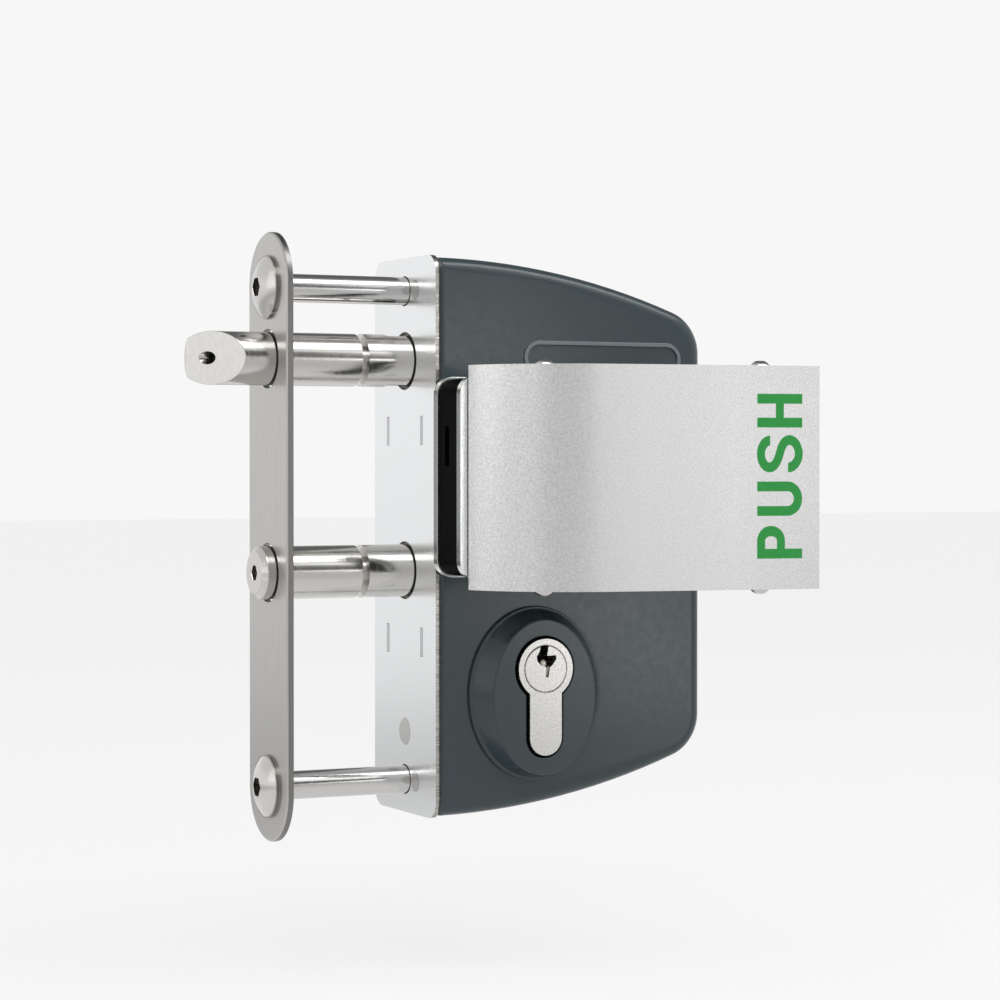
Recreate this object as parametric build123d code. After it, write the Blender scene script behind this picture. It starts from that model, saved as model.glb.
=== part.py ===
from build123d import *
import math
import os

# Surface-mounted gate lock with a push pad, clamped on a square gate tube by a face plate.
# Frame: x points away from the latch, y away from the push pad, z up, in millimetres.
# The origin is on the face that rests on the tube, midway between the two fixing screws.

# Gate tube and the two plates that clamp it
tube_width = 40.0
face_plate_thickness = 2.0
face_plate_width = 29.5
face_plate_end_margin = 0.75
face_plate_rim = 0.5
mounting_plate_thickness = 1.5
mounting_plate_width = 43.0
mounting_plate_overhang = 0.9
mounting_plate_corner = 5.4
bolt_hole_diameter = 16.6

# Heights of the working parts
screw_inset = 8.5
latch_height = 50.0
deadbolt_height = -10.0
spindle_height = 16.8
cylinder_height = -37.3
backset = 30.0

# Housing shells
housing_thickness = 46.0
housing_right = 85.0
housing_above_latch = 28.5
housing_crown_radius = 220.0
housing_corner = 13.0
housing_edge = 3.5
housing_left_edge = 0.5
housing_wall = 2.5
post_radius = 4.5
post_right_x = 75.0
post_left_x = 12.0
post_inset_right_top = 44.4
post_inset_right_bottom = 36.4
post_inset_left_top = 46.4
post_inset_left_bottom = 34.4
badge_left = 26.8
badge_right = 77.6
badge_top = 55.5
badge_height = 9.5
badge_rim = 1.1
badge_relief = 0.5

# Clearances
running_clearance = 0.05
hole_clearance = 0.3
thread_clearance = 0.05
seat_clearance = 0.1
body_clearance = 0.3

# Fixing screws
fixing_shank_radius = 4.0
fixing_flange_radius = 9.0
fixing_flange_height = 0.9
fixing_dome_radius = 8.5
fixing_head_height = 3.7
fixing_socket = 5.0
fixing_socket_depth = 2.8
fixing_reach = 12.0

# Small screws
m3_radius = 1.5
m3_head_radius = 2.85
m3_head_height = 1.65
m3_socket = 2.0
m3_socket_depth = 1.0
m3_flat_head_radius = 2.8
m3_flat_head_height = 1.3
m4_radius = 2.0
m4_head_radius = 3.75
m4_head_height = 4.0
m4_flat_head_radius = 4.0
m4_flat_head_height = 2.2
m4_socket = 2.5
m4_socket_depth = 1.6
m5_radius = 2.5
m5_flat_head_radius = 3.8
m5_flat_head_height = 1.3
case_screw_bite = 9.0

# Inner case
case_plate_thickness = 1.5
case_inner_width = 22.0
case_right = 79.0
case_inset = 22.4
case_corner = 6.0
case_tab_height = 8.0
case_tab_z = 30.0
spacer_radius = 3.5
spacer_x = 58.0
spacer_drop_top = 16.0
spacer_drop_middle = 52.0
spacer_drop_bottom = 96.0
anchor_depth = 12.5
anchor_width = 21.0
anchor_below_screw = 6.0
anchor_above_screw = 5.2
anchor_screw_y = 7.2
anchor_screw_reach = 9.0

# Bolts
bolt_radius = 7.5
latch_reach = 22.0
latch_flat = 5.2
latch_key_hole_radius = 1.75
latch_key_hole_offset = 0.8
latch_head_back = -16.0
latch_gap = 2.0
wedge_margin = 1.0
carrier_back = 28.5
adjuster_radius = 4.0
adjuster_front = -36.0
adjuster_back = -8.4
adjuster_socket = 3.0
adjuster_socket_depth = 3.0
adjuster_bore_front = -40.0
spring_rod_radius = 3.0
spring_rod_back = 58.6
slot_steps = 8
cam_steps = 16
bush_length = 6.5
bush_radius = 10.9
deadbolt_reach = 4.1
deadbolt_chamfer = 1.4
deadbolt_socket = 4.0
deadbolt_socket_depth = 4.0
deadbolt_throw = 20.0
deadbolt_stud_radius = 4.0
deadbolt_stud_length = 14.0
carrier_leg_half_width = 6.5
carrier_leg_half_thickness = 4.0

# Springs
latch_spring_radius = 4.6
latch_spring_wire = 0.45
latch_spring_turns = 4
spring_bracket_x = 55.0
spring_bracket_thickness = 2.0
spring_bracket_height = 15.0
spring_bracket_tab = 8.0
return_spring_radius = 11.6
return_spring_wire = 0.8
return_spring_turns = 3

# Follower, spindle and crank
pad_travel = 15.0
spindle_travel = 38.0
spindle_side = 8.0
spindle_front = -36.6
spindle_back = 46.0
hub_radius = 10.0
hub_collar_radius = 12.5
hub_collar_half = 3.0
journal_radius = 8.0
journal_reach = 14.0
arm_half_thickness = 2.5
arm_nose_radius = 4.0
arm_root_radius = 8.0
crank_radius = 8.0
crank_ball_distance = 10.0
crank_ball_radius = 3.0
crank_neck_radius = 1.8
crank_neck_root = 2.0
crank_ball_y = -33.5
crank_end_gap = 0.7
grub_radius = 2.0
grub_length = 3.5

# Push pad box
stack_left = -1.4
stack_plate_thickness = 2.5
stack_height = 56.0
stack_corner = 5.0
pad_body_depth = 12.7
pad_body_inset = 0.6
pad_body_wall = 4.0
stack_screw_inset = 6.9
stack_screw_reach = 4.5
side_slot_height = 11.0
side_slot_width = 2.6
side_slot_depth = 1.0
side_slot_z = 25.5
side_slot_shift = 1.0
stack_post_inset = 1.0

# Push pad
pad_height = 61.6
pad_wall = 3.0
pad_left = 0.6
pad_gap = 0.5
pad_arc_radius = 37.0
pad_start_angle = 74.0
pad_tilt = 9.0
pad_flat_length = 61.5
pad_lip = 5.0
pad_lip_margin = 1.0
pad_edge = 0.3
pad_overrun = 6.0
pad_web_inset = 0.2
cap_start_inset = 12.0
cap_screw_bite = 6.0
cap_thickness = 2.0
cap_depth = 8.5
channel_radius = 3.5
channel_offset = 6.2
channel_angle = 38.6
channel_flat_distance = 46.3
hinge_depth = 7.6
hinge_y_gap = 4.5
hinge_pin_radius = 2.5
hinge_boss_radius = 4.0
knuckle_half_height = 13.0
knuckle_gap = 0.5
rib_x = 20.0
rib_back = -50.0
arm_plate_thickness = 3.0
arm_slot_clearance = 0.3
arm_prong = 3.6
arm_root_width = 9.0
arm_flange_half_height = 13.0
arm_screw_offset = 8.0
slot_mouth = 4.0

# Key cylinder
profile_radius = 8.5
profile_web = 10.0
profile_height = 33.0
cylinder_half_length = 30.6
plug_radius = 6.5
cam_half_width = 4.8
cam_space_half = 5.2
cam_ring_radius = 7.9
cam_nose_radius = 2.0
cam_nose_distance = 13.0
cam_root_radius = 2.8
keyway_depth = 23.0
keyway_outline = [(-1.5, 6.8), (-2.0, 5.0), (-2.9, 3.6), (-2.7, 2.2), (-1.7, 1.1), (0.1, 0.4), (-0.1, -2.4),
                  (0.8, -2.4), (1.3, 0.4), (2.3, 1.3), (3.3, 2.7), (3.2, 3.8), (0.4, 3.7), (0.9, 6.8)]
plug_chamfer = 0.15
bore_chamfer = 0.3
pin_radius = 1.4
pin_offset = 0.6
pin_first = 3.5
pin_pitch = 4.0
pin_tops = [2.8, 1.9, 2.4, 1.7, 2.1]
pin_bore_top = 1.5
driver_length = 7.0
chamber_length = 15.0
cylinder_screw_drop = 19.0
cylinder_screw_tip = 33.5

# Oval rose round the cylinder
rose_width = 41.4
rose_height = 49.6
rose_rise = 0.7
rose_ledge = 0.9
rose_front_width = 32.2
rose_front_height = 43.9
rose_depth = 6.9
rose_step = 1.2
rose_lip = 0.4
rose_edge = 0.6
rose_gap = 0.72

# Rear lever handle
handle_rose_radius = 25.0
handle_rose_depth = 8.0
handle_neck_radius = 9.0
handle_neck_end = 52.0
handle_grip_depth = 12.0
handle_grip_height = 19.0
handle_length = 112.0
handle_rounding = 4.5
handle_rose_edge = 2.0
handle_end_flat = 0.5
handle_neck_overlap = 1.0
handle_grub_y = 34.0

# Angles from the first axis of a sketch to its second, and back past the half turn
up_degrees = 90.0
down_degrees = 270.0

# Worked out from the driving sizes
housing_half_height = latch_height + housing_above_latch
front_y = -housing_thickness / 2
back_y = housing_thickness / 2
plate_back_x = mounting_plate_thickness
base_front = front_y - stack_plate_thickness
body_front = base_front - pad_body_depth
cover_front = body_front - stack_plate_thickness
case_y = case_inner_width / 2
arm_radius = latch_height - spindle_height
half_spindle_travel = spindle_travel / 2
latch_travel = 2 * arm_radius * math.sin(math.radians(half_spindle_travel))
cam_half_angle = math.degrees(math.asin(deadbolt_throw / 2 / cam_nose_distance))
pad_edge_y = cover_front - pad_gap
pad_centre = (pad_left + pad_arc_radius * math.sin(math.radians(pad_start_angle)),
              pad_edge_y + pad_arc_radius * math.cos(math.radians(pad_start_angle)))
hinge_y = cover_front - hinge_y_gap
hinge_ring = pad_arc_radius - hinge_depth
hinge_x = pad_centre[0] - math.sqrt(hinge_ring ** 2 - (hinge_y - pad_centre[1]) ** 2)
pad_low = spindle_height - pad_height / 2
pad_high = spindle_height + pad_height / 2
screw_spacing = 2 * (housing_half_height - screw_inset)
face_plate_length = screw_spacing + face_plate_width + 2 * face_plate_end_margin
mounting_plate_height = 2 * (housing_half_height + mounting_plate_overhang)
case_height = 2 * (housing_half_height - case_inset)
anchor_low = screw_spacing / 2 - anchor_below_screw
anchor_high = screw_spacing / 2 + anchor_above_screw
spacer_places = [(spacer_x, latch_height - drop)
                 for drop in (spacer_drop_top, spacer_drop_middle, spacer_drop_bottom)]


# Shapes drawn square to an axis
def along_x(sketch, low, high):
    return extrude(Plane.YZ.offset(low) * sketch, high - low)


def along_y(sketch, low, high):
    return extrude(Plane.XZ.offset(-high) * sketch, high - low)


def along_z(sketch, low, high):
    return extrude(Plane.XY.offset(low) * sketch, high - low)


def rod_x(y, z, radius, low, high):
    return along_x(Pos(y, z) * Circle(radius), low, high)


def rod_y(x, z, radius, low, high):
    return along_y(Pos(x, z) * Circle(radius), low, high)


def rod_z(x, y, radius, low, high):
    return along_z(Pos(x, y) * Circle(radius), low, high)


def hexagon(across_flats):
    return RegularPolygon(across_flats / 2, 6, major_radius=False)


def box(x0, x1, y0, y1, z0, z1):
    return Pos((x0 + x1) / 2, (y0 + y1) / 2, (z0 + z1) / 2) * Box(x1 - x0, y1 - y0, z1 - z0)


def polar(radius, degrees):
    return radius * math.cos(math.radians(degrees)), radius * math.sin(math.radians(degrees))


def revolved(points, plane):
    outline = Polyline(*points, close=True)
    return revolve(plane * make_face(outline), Axis(plane.origin, plane.y_dir))


# Screws are turned about the y direction of the plane they stand on, head first
def countersunk(plane, head_radius, head_height, radius, length):
    points = [(0, 0), (head_radius, 0), (radius, head_height), (radius, length), (0, length)]
    return revolved(points, plane)


def screw_plane(x, y, z, along):
    sideways = Vector(0, 0, 1)
    return Plane(origin=(x, y, z), x_dir=sideways, z_dir=sideways.cross(Vector(*along)))


# Face plate on the latch side of the tube
def face_plate():
    outer = Rot(0, 0, up_degrees) * SlotOverall(face_plate_length, face_plate_width)
    inner = Rot(0, 0, up_degrees) * SlotOverall(face_plate_length - 2 * face_plate_rim,
                                                face_plate_width - 2 * face_plate_rim)
    left = -tube_width - face_plate_thickness
    plate = along_x(outer, left + face_plate_rim, -tube_width)
    plate += loft([Plane.YZ.offset(left) * inner, Plane.YZ.offset(left + face_plate_rim) * outer])
    for height in (latch_height, deadbolt_height):
        plate -= rod_x(0, height, bolt_hole_diameter / 2, left, -tube_width)
    for side in (-1, 1):
        z = side * screw_spacing / 2
        plate -= rod_x(0, z, fixing_shank_radius + hole_clearance, left, -tube_width)
    return plate


# Button-head screws that pull both plates onto the tube
def fixing_screws():
    seat = -tube_width - face_plate_thickness
    screws = []
    for side in (-1, 1):
        z = side * screw_spacing / 2
        flange = rod_x(0, z, fixing_flange_radius, seat - fixing_flange_height, seat)
        dome_height = fixing_head_height - fixing_flange_height
        ball = (fixing_dome_radius ** 2 + dome_height ** 2) / (2 * dome_height)
        dome = Pos(seat - fixing_head_height + ball, 0, z) * Sphere(ball)
        dome &= box(seat - fixing_head_height, seat - fixing_flange_height, -ball, ball, z - ball, z + ball)
        shank = rod_x(0, z, fixing_shank_radius, seat, plate_back_x + fixing_reach)
        socket = along_x(Pos(0, z) * hexagon(fixing_socket), seat - fixing_head_height,
                         seat - fixing_head_height + fixing_socket_depth)
        screws.append(flange + dome + shank - socket)
    return screws


# Mounting plate that rests on the tube
def mounting_plate():
    outline = RectangleRounded(mounting_plate_width, mounting_plate_height, mounting_plate_corner)
    plate = along_x(outline, 0, plate_back_x)
    for height in (latch_height, deadbolt_height):
        plate -= rod_x(0, height, bolt_hole_diameter / 2, 0, plate_back_x)
    tab = case_y + case_plate_thickness / 2
    slot_width = case_plate_thickness + 2 * seat_clearance
    slot_height = case_tab_height + 2 * seat_clearance
    for side in (-1, 1):
        z = side * screw_spacing / 2
        plate -= rod_x(0, z, fixing_shank_radius + hole_clearance, 0, plate_back_x)
        for y in (-anchor_screw_y, anchor_screw_y):
            plate -= countersunk(screw_plane(0, y, z, (1, 0, 0)), m3_flat_head_radius + seat_clearance,
                                 m3_flat_head_height, m3_radius + seat_clearance, plate_back_x)
        for y in (-tab, tab):
            plate -= along_x(Pos(y, side * case_tab_z) * Rectangle(slot_width, slot_height), 0, plate_back_x)
    plate -= countersunk(screw_plane(0, 0, cylinder_height - cylinder_screw_drop, (1, 0, 0)),
                         m5_flat_head_radius + seat_clearance, m5_flat_head_height,
                         m5_radius + seat_clearance, plate_back_x)
    return plate


def plate_screws():
    screws = []
    for side in (-1, 1):
        for y in (-anchor_screw_y, anchor_screw_y):
            place = screw_plane(0, y, side * screw_spacing / 2, (1, 0, 0))
            screws.append(countersunk(place, m3_flat_head_radius, m3_flat_head_height, m3_radius,
                                      plate_back_x + anchor_screw_reach))
    return screws


# Steel blocks behind the mounting plate that the fixing screws thread into
def anchor_blocks():
    blocks = []
    right = plate_back_x + anchor_depth
    for side in (-1, 1):
        low, high = sorted((side * anchor_low, side * anchor_high))
        block = box(plate_back_x, right, -anchor_width / 2, anchor_width / 2, low, high)
        z = side * screw_spacing / 2
        block -= rod_x(0, z, fixing_shank_radius + thread_clearance, plate_back_x, right)
        for y in (-anchor_screw_y, anchor_screw_y):
            block -= rod_x(y, z, m3_radius + thread_clearance, plate_back_x, right)
        blocks.append(block)
    return blocks


# Housing outline with its crowned top and bottom
def housing_outline(inset):
    crown = housing_crown_radius - inset
    centre = housing_half_height - housing_crown_radius
    right = housing_right - inset
    left = plate_back_x + inset
    slab = Pos((left + right) / 2, 0) * Rectangle(right - left, 2 * housing_half_height)
    outline = slab & (Pos(0, centre) * Circle(crown)) & (Pos(0, -centre) * Circle(crown))
    corners = outline.vertices().sort_by(Axis.X)[-2:]
    return fillet(corners, housing_corner - inset)


def posts():
    half = housing_half_height
    places = [(post_right_x, z) for z in (half - post_inset_right_top, post_inset_right_bottom - half)]
    return places + [(post_left_x, z) for z in (half - post_inset_left_top, post_inset_left_bottom - half)]


def shell(side):
    outer = housing_outline(0)
    inner = housing_outline(housing_wall)
    y0, y1 = sorted((0, side * back_y))
    body = along_y(outer, y0, y1)
    rim = body.faces().sort_by(Axis.Y)[-1 if side > 0 else 0].edges().sort_by(Axis.X)
    body = fillet(rim[1:], housing_edge)
    left_edge = body.edges().filter_by(Axis.Z).filter_by_position(Axis.X, plate_back_x, plate_back_x)
    body = fillet(left_edge.sort_by(Axis.Y)[-1 if side > 0 else 0], housing_left_edge)
    inside = side * (back_y - housing_wall)
    body -= along_y(inner, *sorted((0, inside)))
    for x, z in posts():
        body += rod_y(x, z, post_radius, *sorted((0, inside))) & along_y(outer, y0, y1)
    # The key cylinder passes through both shells
    body -= along_y(cylinder_profile(rose_gap), y0, y1)
    body -= rod_y(backset, spindle_height, journal_radius + hole_clearance, y0, y1)
    # The mounting plate closes the left side, so the shells are open there
    window = housing_half_height - housing_wall + body_clearance
    opening = case_y + case_plate_thickness + body_clearance
    body -= box(plate_back_x, plate_back_x + housing_wall, *sorted((0, side * opening)), -window, window)
    return body


# Shell under the push pad, with a blank raised badge
def front_shell():
    body = shell(-1)
    middle = (badge_left + badge_right) / 2
    length = badge_right - badge_left
    z = badge_top - badge_height / 2
    badge = SlotOverall(length, badge_height)
    badge -= SlotOverall(length - 2 * badge_rim, badge_height - 2 * badge_rim)
    body += along_y(Pos(middle, z) * badge, front_y - badge_relief, front_y)
    for x, z in posts():
        body -= rod_y(x, z, m4_radius + thread_clearance, -case_screw_bite - hole_clearance, 0)
    for x, z in stack_screw_places():
        inside = front_y + housing_wall
        stud = rod_y(x, z, post_radius - stack_post_inset, inside, inside + stack_screw_reach)
        body += stud & along_y(housing_outline(0), front_y, 0)
        body -= rod_y(x, z, m4_radius + thread_clearance, front_y, inside + stack_screw_reach)
    return body


def rear_shell():
    body = shell(1)
    for x, z in posts():
        body -= rod_y(x, z, m4_radius + seat_clearance, 0, back_y)
        body -= rod_y(x, z, m4_head_radius + seat_clearance, back_y - m4_head_height - seat_clearance, back_y)
    return body


# Screws from the back that join the two shells
def case_screws():
    screws = []
    for x, z in posts():
        seat = back_y - m4_head_height - seat_clearance
        head = rod_y(x, z, m4_head_radius, seat, back_y - seat_clearance)
        shank = rod_y(x, z, m4_radius, -case_screw_bite, seat)
        depth = back_y - seat_clearance
        socket = along_y(Pos(x, z) * hexagon(m4_socket), depth - m4_socket_depth, depth)
        screws.append(head + shank - socket)
    return screws


# Steel case plates that carry the mechanism
def case_plate(side):
    low, high = sorted((side * case_y, side * (case_y + case_plate_thickness)))
    width = case_right - plate_back_x
    outline = Pos(plate_back_x + width / 2, 0) * Rectangle(width, case_height)
    outline = fillet(outline.vertices().sort_by(Axis.X)[-2:], case_corner)
    plate = along_y(outline, low, high)
    for z in (-case_tab_z, case_tab_z):
        plate += box(0, plate_back_x, low, high, z - case_tab_height / 2, z + case_tab_height / 2)
    plate -= rod_y(backset, spindle_height, hub_radius + seat_clearance / 2, low, high)
    plate -= along_y(cylinder_profile(seat_clearance), low, high)
    for x, z in posts():
        plate -= rod_y(x, z, post_radius + hole_clearance, low, high)
    for x, z in spacer_places:
        plate -= rod_y(x, z, m3_radius + thread_clearance, low, high)
    tab = spring_bracket_tab / 2 + seat_clearance
    bracket_right = spring_bracket_x + spring_bracket_thickness
    plate -= box(spring_bracket_x - seat_clearance, bracket_right + seat_clearance, low, high,
                 latch_height - tab, latch_height + tab)
    return plate


# Shouldered spacers riveted through both case plates
def case_spacers():
    reach = case_y + case_plate_thickness
    return [rod_y(x, z, spacer_radius, -case_y, case_y) + rod_y(x, z, m3_radius, -reach, reach)
            for x, z in spacer_places]


# Bracket that the latch spring pushes against
def spring_bracket():
    half = spring_bracket_height / 2
    tab = spring_bracket_tab / 2
    right = spring_bracket_x + spring_bracket_thickness
    reach = case_y + case_plate_thickness
    plate = box(spring_bracket_x, right, -case_y, case_y, latch_height - half, latch_height + half)
    plate += box(spring_bracket_x, right, -reach, reach, latch_height - tab, latch_height + tab)
    return plate - rod_x(0, latch_height, spring_rod_radius + hole_clearance, spring_bracket_x, right)


# Latch bolt with its slanted nose and key hole
def latch_bolt():
    tip = -tube_width - face_plate_thickness - latch_reach
    bolt = rod_x(0, latch_height, bolt_radius, tip, latch_head_back)
    slope_end = tip + latch_flat + bolt_radius
    wedge = Polyline((tip - wedge_margin, latch_flat + wedge_margin),
                     (slope_end + wedge_margin, -bolt_radius - wedge_margin),
                     (tip - wedge_margin, -bolt_radius - wedge_margin), close=True)
    reach = bolt_radius + wedge_margin
    bolt -= along_z(make_face(wedge), latch_height - reach, latch_height + reach)
    bolt -= rod_x(latch_key_hole_offset, latch_height, latch_key_hole_radius, tip, adjuster_bore_front)
    bolt -= rod_x(0, latch_height, adjuster_radius + thread_clearance, adjuster_bore_front, latch_head_back)
    return bolt


# Threaded stud that sets the length of the latch
def latch_adjuster():
    stud = rod_x(0, latch_height, adjuster_radius, adjuster_front, adjuster_back)
    socket = along_x(Pos(0, latch_height) * hexagon(adjuster_socket), adjuster_front,
                     adjuster_front + adjuster_socket_depth)
    return stud - socket


# Follower arm outline at an angle from the x direction, grown by a margin
def arm_outline(degrees, grow):
    root = Circle(arm_root_radius + grow)
    nose = Pos(*polar(arm_radius, degrees)) * Circle(arm_nose_radius + grow)
    return make_hull([*root.edges(), *nose.edges()])


# Slotted carrier that the follower arm pulls, with the spring rod behind it
def latch_carrier():
    front = latch_head_back + latch_gap
    body = rod_x(0, latch_height, bolt_radius, front, carrier_back)
    body -= rod_x(0, latch_height, adjuster_radius + thread_clearance, front, adjuster_back + body_clearance)
    body += rod_x(0, latch_height, spring_rod_radius, carrier_back, spring_rod_back)
    nose_x = backset - arm_radius * math.sin(math.radians(half_spindle_travel))
    slot_left = nose_x - arm_nose_radius - latch_travel - body_clearance
    slot_right = nose_x + arm_nose_radius + body_clearance
    half = arm_half_thickness + body_clearance
    body -= box(slot_left, slot_right, -half, half, latch_height - bolt_radius, latch_height + bolt_radius)
    # The slot flares below the nose so that the arm clears it over the whole swing
    for step in range(slot_steps + 1):
        share = step / slot_steps
        degrees = up_degrees + half_spindle_travel - share * spindle_travel
        outline = Pos(backset - share * latch_travel, spindle_height) * arm_outline(degrees, body_clearance)
        body -= along_y(outline, -half, half)
    return body


def bolt_bush(height):
    end = plate_back_x + bush_length
    ring = rod_x(0, height, bush_radius, plate_back_x, end)
    return ring - rod_x(0, height, bolt_radius + running_clearance, plate_back_x, end)


# Coil springs, each one unbroken wire
def coil(radius, wire, pitch, turns, centre, direction):
    path = Helix(pitch, pitch * turns, radius, center=centre, direction=direction)
    section = Plane(origin=path @ 0, z_dir=path % 0) * Circle(wire)
    print("coil gap", round(pitch - 2 * wire, 2), "mm over", turns, "turns")
    return sweep(section, path=path)


def latch_spring():
    low = carrier_back + latch_spring_wire + seat_clearance
    high = spring_bracket_x - latch_spring_wire - seat_clearance
    pitch = (high - low) / latch_spring_turns
    return coil(latch_spring_radius, latch_spring_wire, pitch, latch_spring_turns,
                (low, 0, latch_height), (1, 0, 0))


def return_spring():
    low = -hub_collar_half - seat_clearance - return_spring_wire
    high = -case_y + seat_clearance + return_spring_wire
    pitch = (low - high) / return_spring_turns
    return coil(return_spring_radius, return_spring_wire, pitch, return_spring_turns,
                (backset, low, spindle_height), (0, -1, 0))


# Deadbolt with a key socket in its polished end
def deadbolt():
    tip = -tube_width - face_plate_thickness - deadbolt_reach
    bolt = rod_x(0, deadbolt_height, bolt_radius, tip, latch_head_back)
    bolt = chamfer(bolt.edges().sort_by(Axis.X)[0], deadbolt_chamfer)
    bolt -= along_x(Pos(0, deadbolt_height) * hexagon(deadbolt_socket), tip, tip + deadbolt_socket_depth)
    return bolt - rod_x(0, deadbolt_height, deadbolt_stud_radius + thread_clearance,
                        latch_head_back - deadbolt_stud_length, latch_head_back)


# Key cam outline at an angle from the x direction, grown by a margin
def cam_outline(degrees, grow):
    nose = Pos(*polar(cam_nose_distance, degrees)) * Circle(cam_nose_radius + grow)
    root = Pos(*polar(cam_ring_radius - cam_root_radius, degrees)) * Circle(cam_root_radius + grow)
    return make_hull([*nose.edges(), *root.edges()])


# Carrier behind the deadbolt, with a leg whose notch follows the key cam
def deadbolt_carrier():
    front = latch_head_back + latch_gap
    body = rod_x(0, deadbolt_height, bolt_radius, front, carrier_back)
    body += rod_x(0, deadbolt_height, deadbolt_stud_radius, front - deadbolt_stud_length, front)
    notch_x = backset + deadbolt_throw / 2
    leg_low = cylinder_height + cam_ring_radius + 2 * body_clearance
    leg = box(carrier_back, notch_x + carrier_leg_half_width, -carrier_leg_half_thickness,
              carrier_leg_half_thickness, deadbolt_height - bolt_radius, deadbolt_height + bolt_radius)
    leg += box(notch_x - carrier_leg_half_width, notch_x + carrier_leg_half_width,
               -carrier_leg_half_thickness, carrier_leg_half_thickness, leg_low, deadbolt_height)
    for step in range(cam_steps + 1):
        share = step / cam_steps
        degrees = up_degrees - cam_half_angle + share * 2 * cam_half_angle
        place = Pos(backset + share * deadbolt_throw, cylinder_height)
        leg -= along_y(place * cam_outline(degrees, body_clearance), -carrier_leg_half_thickness,
                       carrier_leg_half_thickness)
    return body + leg


# Follower that turns with the spindle and pulls the latch
def follower():
    hub = rod_y(backset, spindle_height, hub_radius, -case_y + seat_clearance, case_y - seat_clearance)
    hub += rod_y(backset, spindle_height, hub_collar_radius, -hub_collar_half, hub_collar_half)
    hub += rod_y(backset, spindle_height, journal_radius, -journal_reach, journal_reach)
    arm = Pos(backset, spindle_height) * arm_outline(up_degrees + half_spindle_travel, 0)
    hub += along_y(arm, -arm_half_thickness, arm_half_thickness)
    return hub - square_bore(-journal_reach, journal_reach)


def square_bore(low, high):
    side = spindle_side + 2 * running_clearance
    return along_y(Pos(backset, spindle_height) * Rectangle(side, side), low, high)


def follower_bushes():
    bushes = []
    for side in (-1, 1):
        low, high = sorted((side * case_y, side * (case_y + case_plate_thickness)))
        ring = rod_y(backset, spindle_height, hub_radius, low, high)
        bushes.append(ring - rod_y(backset, spindle_height, journal_radius + running_clearance, low, high))
    return bushes


def spindle():
    square = Pos(backset, spindle_height) * Rectangle(spindle_side, spindle_side)
    return along_y(square, spindle_front, spindle_back)


# Crank on the front end of the spindle, with a ball that the drive arm pushes
def spindle_crank():
    back = base_front - crank_end_gap
    front = body_front + crank_end_gap
    hub = rod_y(backset, spindle_height, crank_radius, front, back)
    swing = math.radians(half_spindle_travel)
    direction = Vector(math.sin(swing), 0, -math.cos(swing))
    centre = Vector(backset, crank_ball_y, spindle_height)
    root = spindle_side / 2 + crank_neck_root
    neck = Plane(origin=centre + direction * root, z_dir=direction)
    hub += extrude(neck * Circle(crank_neck_radius), crank_ball_distance - root)
    hub += Pos(*(centre + direction * crank_ball_distance)) * Sphere(crank_ball_radius)
    hub -= square_bore(front, back)
    top = spindle_height + spindle_side / 2
    grub_y = (front + back) / 2
    tapping = Pos(backset, grub_y) * Circle(grub_radius + thread_clearance)
    return hub - along_z(tapping, top, top + crank_radius)


# Grub screws that hold the crank and the lever on the spindle
def grub_screws():
    top = spindle_height + spindle_side / 2 + running_clearance
    crank_y = (base_front + body_front) / 2
    crank_grub = along_z(Pos(backset, crank_y) * Circle(grub_radius), top, top + grub_length)
    low = spindle_height - spindle_side / 2 - running_clearance
    handle_grub = along_z(Pos(backset, handle_grub_y) * Circle(grub_radius), low - grub_length, low)
    return [crank_grub, handle_grub]


# Flat layers of the push pad box
def stack_outline(inset):
    width = 2 * (backset - stack_left) - 2 * inset
    sheet = RectangleRounded(width, stack_height - 2 * inset, stack_corner - inset)
    return Pos(backset, spindle_height) * sheet


def stack_screw_places():
    right = 2 * backset - stack_left - stack_screw_inset
    rise = stack_height / 2 - stack_screw_inset
    return [(x, spindle_height + z) for x in (stack_left + stack_screw_inset, right) for z in (-rise, rise)]


def pad_base_plate():
    plate = along_y(stack_outline(0), base_front, front_y)
    plate -= rod_y(backset, spindle_height, journal_radius + hole_clearance, base_front, front_y)
    for x, z in stack_screw_places():
        plate -= rod_y(x, z, m4_radius + seat_clearance, base_front, front_y)
    return plate


def pad_body():
    body = along_y(stack_outline(pad_body_inset), body_front, base_front)
    side_wall = pad_body_inset + pad_body_wall + 2 * stack_screw_inset - stack_corner
    width = 2 * (backset - stack_left) - 2 * side_wall
    height = stack_height - 2 * (pad_body_inset + pad_body_wall)
    cavity = Pos(backset, spindle_height) * RectangleRounded(width, height, stack_corner)
    body -= along_y(cavity, body_front, base_front)
    for x, z in stack_screw_places():
        body -= rod_y(x, z, m4_radius + seat_clearance, body_front, base_front)
    left = stack_left + pad_body_inset
    slot_y = (base_front + body_front) / 2 + side_slot_shift
    body -= box(left, left + side_slot_depth, slot_y - side_slot_width / 2, slot_y + side_slot_width / 2,
                side_slot_z - side_slot_height / 2, side_slot_z + side_slot_height / 2)
    return body


def arm_plate_levels():
    middle = spindle_height - crank_ball_distance
    return middle - arm_plate_thickness / 2, middle + arm_plate_thickness / 2


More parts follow.
